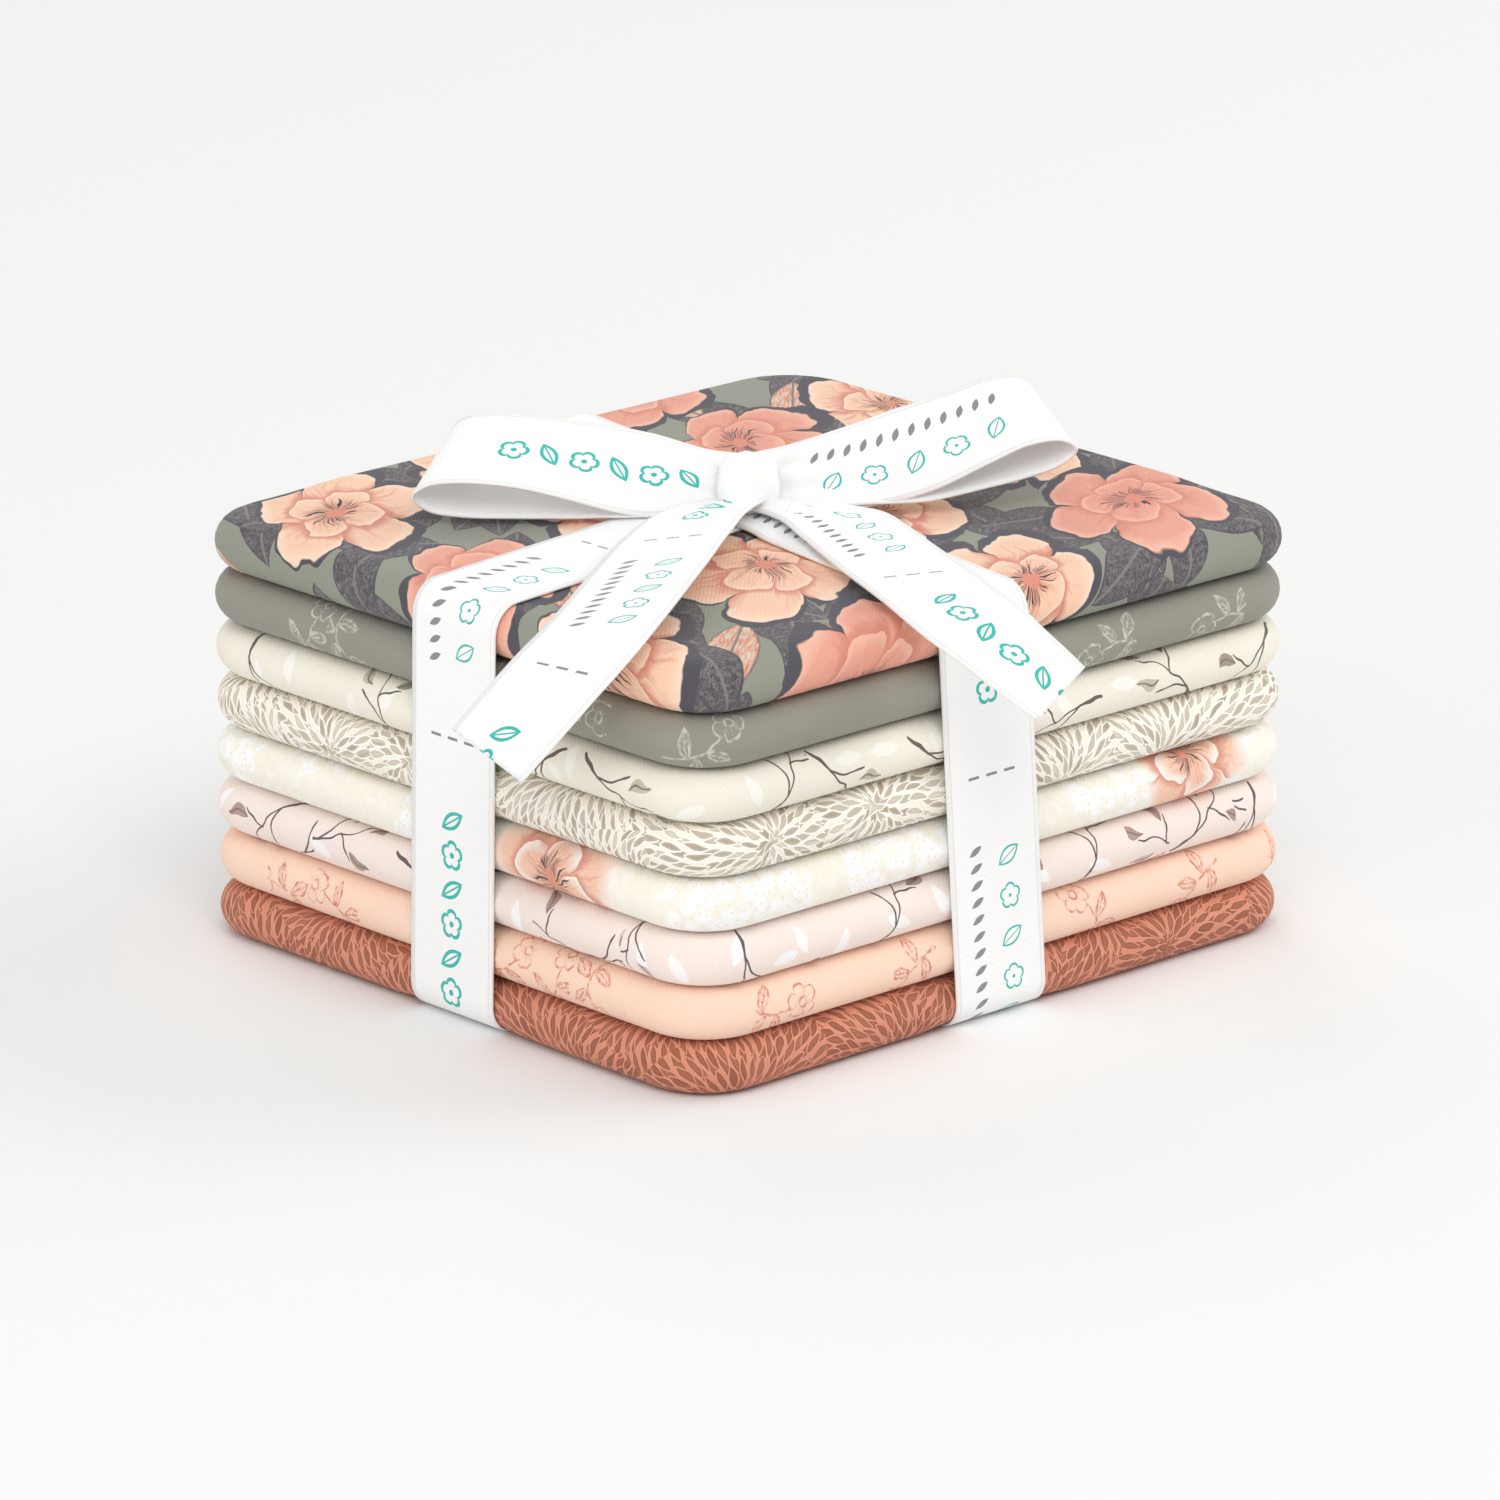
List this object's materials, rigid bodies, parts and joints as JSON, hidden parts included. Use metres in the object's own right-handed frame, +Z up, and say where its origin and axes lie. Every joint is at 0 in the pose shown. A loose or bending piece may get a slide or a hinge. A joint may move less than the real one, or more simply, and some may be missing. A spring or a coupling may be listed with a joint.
{
  "type": "fat quarter bundle",
  "caption": "Stack of folded fat quarters of printed quilting cotton, tied both ways with a flat ribbon and a bow on top.",
  "frame": {"origin": "middle of the stack's flat underside, on the surface it rests on", "axes": "+Z up, +X along the right-hand near side, +Y along the left-hand near side away from the near corner"},
  "size_m": [0.1805, 0.1705, 0.1014],
  "materials": {
    "cotton_floral": "printed woven cotton, large floral",
    "cotton_sage": "printed woven cotton, fine pale sprigs on grey green",
    "cotton_sand": "printed woven cotton, dark twigs and leaves on beige",
    "cotton_oat": "printed woven cotton, fanned petal dashes on cream",
    "cotton_ivory": "printed woven cotton, pale blossoms on ivory",
    "cotton_blush": "printed woven cotton, dark twigs and leaves on blush",
    "cotton_peach": "printed woven cotton, fine coral sprigs on peach",
    "cotton_terracotta": "printed woven cotton, fanned brown dashes on terracotta",
    "ribbon": "white woven tape with small printed motifs"
  },
  "bodies": {
    "root": {"fat_quarter_1_floral": "cotton_floral", "fat_quarter_2_sage": "cotton_sage", "fat_quarter_3_sand": "cotton_sand", "fat_quarter_4_oat": "cotton_oat", "fat_quarter_5_ivory": "cotton_ivory", "fat_quarter_6_blush": "cotton_blush", "fat_quarter_7_peach": "cotton_peach", "fat_quarter_8_terracotta": "cotton_terracotta", "ribbon": "ribbon"}
  },
  "joints": []
}
